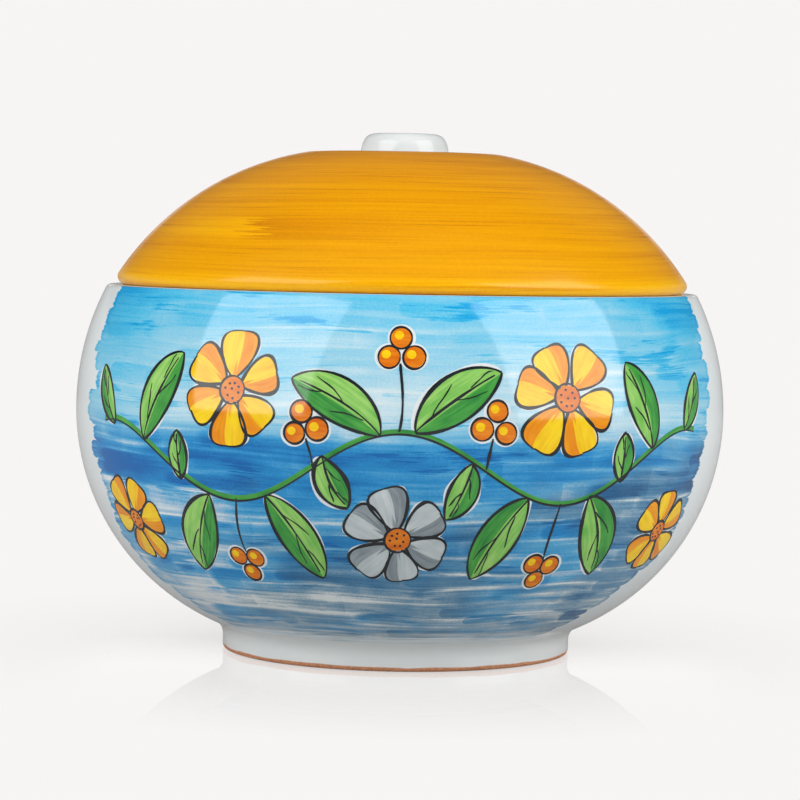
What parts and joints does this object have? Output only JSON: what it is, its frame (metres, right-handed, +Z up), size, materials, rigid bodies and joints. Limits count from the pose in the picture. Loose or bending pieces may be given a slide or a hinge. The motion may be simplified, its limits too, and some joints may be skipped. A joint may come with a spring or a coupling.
{
  "type": "cookie jar",
  "caption": "Round-bellied glazed earthenware cookie jar on a foot ring, with a lift-off domed lid whose knob stands in a sunk finger well.",
  "frame": {"origin": "on the table, under the middle of the foot ring", "axes": "+Z up the axis that the jar was turned on; the painted front faces -Y"},
  "size_m": [0.25, 0.25, 0.2],
  "materials": {
    "blue_washed_glaze": "glossy white tin glaze with a brushed blue wash on the front and painted sprigs",
    "white_glaze": "glossy white tin glaze, bare clay where the piece stands or was fired",
    "orange_glaze": "glossy glaze over a brushed orange and yellow wash"
  },
  "bodies": {
    "jar": {"jar_bowl": "blue_washed_glaze", "foot_ring": "white_glaze"},
    "lid": {"lid_dome": "orange_glaze", "lid_flange": "white_glaze", "lid_knob": "white_glaze"}
  },
  "joints": [
    {"name": "lid_lift", "type": "slide", "parent": "jar", "child": "lid", "axis": [0, 0, 1], "range_m": [0, 0.12]}
  ]
}
